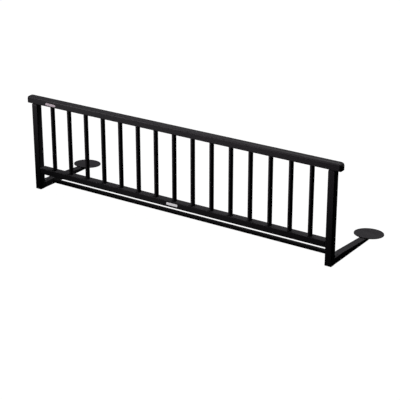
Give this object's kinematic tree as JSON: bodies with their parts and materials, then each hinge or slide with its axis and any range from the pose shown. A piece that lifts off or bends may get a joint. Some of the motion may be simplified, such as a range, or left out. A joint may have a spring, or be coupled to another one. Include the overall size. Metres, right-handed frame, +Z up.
{
  "type": "bed guard rail",
  "caption": "Black lacquered wooden bed guard: a spindled panel standing on two posts, with a fold-up leg frame of tapered arms, a crossbar and round end discs that slides under the mattress.",
  "frame": {"origin": "on the bed base, under the middle of the bounding box", "axes": "+X along the rails (right seen from the room), +Y from the room towards the mattress, +Z up"},
  "size_m": [1.232, 0.3188, 0.332],
  "materials": {
    "lacquered_wood": "satin black lacquer over solid wood, softly rounded arrises",
    "disc": "satin black lacquered thin board",
    "dowel_wood": "bare beech, hidden inside the joints",
    "hinge_steel": "black painted steel",
    "zinc": "zinc plated steel",
    "label": "plain off-white sticker without any print"
  },
  "bodies": {
    "panel": {"top_rail": "lacquered_wood", "bottom_rail": "lacquered_wood", "spindle_01": "lacquered_wood", "spindle_02": "lacquered_wood", "spindle_03": "lacquered_wood", "spindle_04": "lacquered_wood", "spindle_05": "lacquered_wood", "spindle_06": "lacquered_wood", "spindle_07": "lacquered_wood", "spindle_08": "lacquered_wood", "spindle_09": "lacquered_wood", "spindle_10": "lacquered_wood", "spindle_11": "lacquered_wood", "spindle_12": "lacquered_wood", "spindle_13": "lacquered_wood", "spindle_14": "lacquered_wood", "spindle_15": "lacquered_wood", "left_post": "lacquered_wood", "left_post_dowel": "dowel_wood", "left_bottom_rail_dowel": "dowel_wood", "right_post": "lacquered_wood", "right_post_dowel": "dowel_wood", "right_bottom_rail_dowel": "dowel_wood", "top_rail_label": "label", "bottom_rail_label": "label", "left_hinge_post_leaf": "hinge_steel", "left_hinge_pin": "zinc", "left_hinge_post_screw": "zinc", "right_hinge_post_leaf": "hinge_steel", "right_hinge_pin": "zinc", "right_hinge_post_screw": "zinc"},
    "leg_frame": {"crossbar": "lacquered_wood", "left_arm": "lacquered_wood", "left_disc": "disc", "left_disc_screw": "zinc", "left_crossbar_screw": "zinc", "right_arm": "lacquered_wood", "right_disc": "disc", "right_disc_screw": "zinc", "right_crossbar_screw": "zinc", "left_hinge_arm_leaf": "hinge_steel", "left_hinge_arm_screw": "zinc", "right_hinge_arm_leaf": "hinge_steel", "right_hinge_arm_screw": "zinc"}
  },
  "joints": [
    {"name": "leg_fold", "type": "hinge", "parent": "panel", "child": "leg_frame", "pos_m": [0, -0.13032, 0.0258], "axis": [1, 0, 0], "range_deg": [0, 90]}
  ]
}
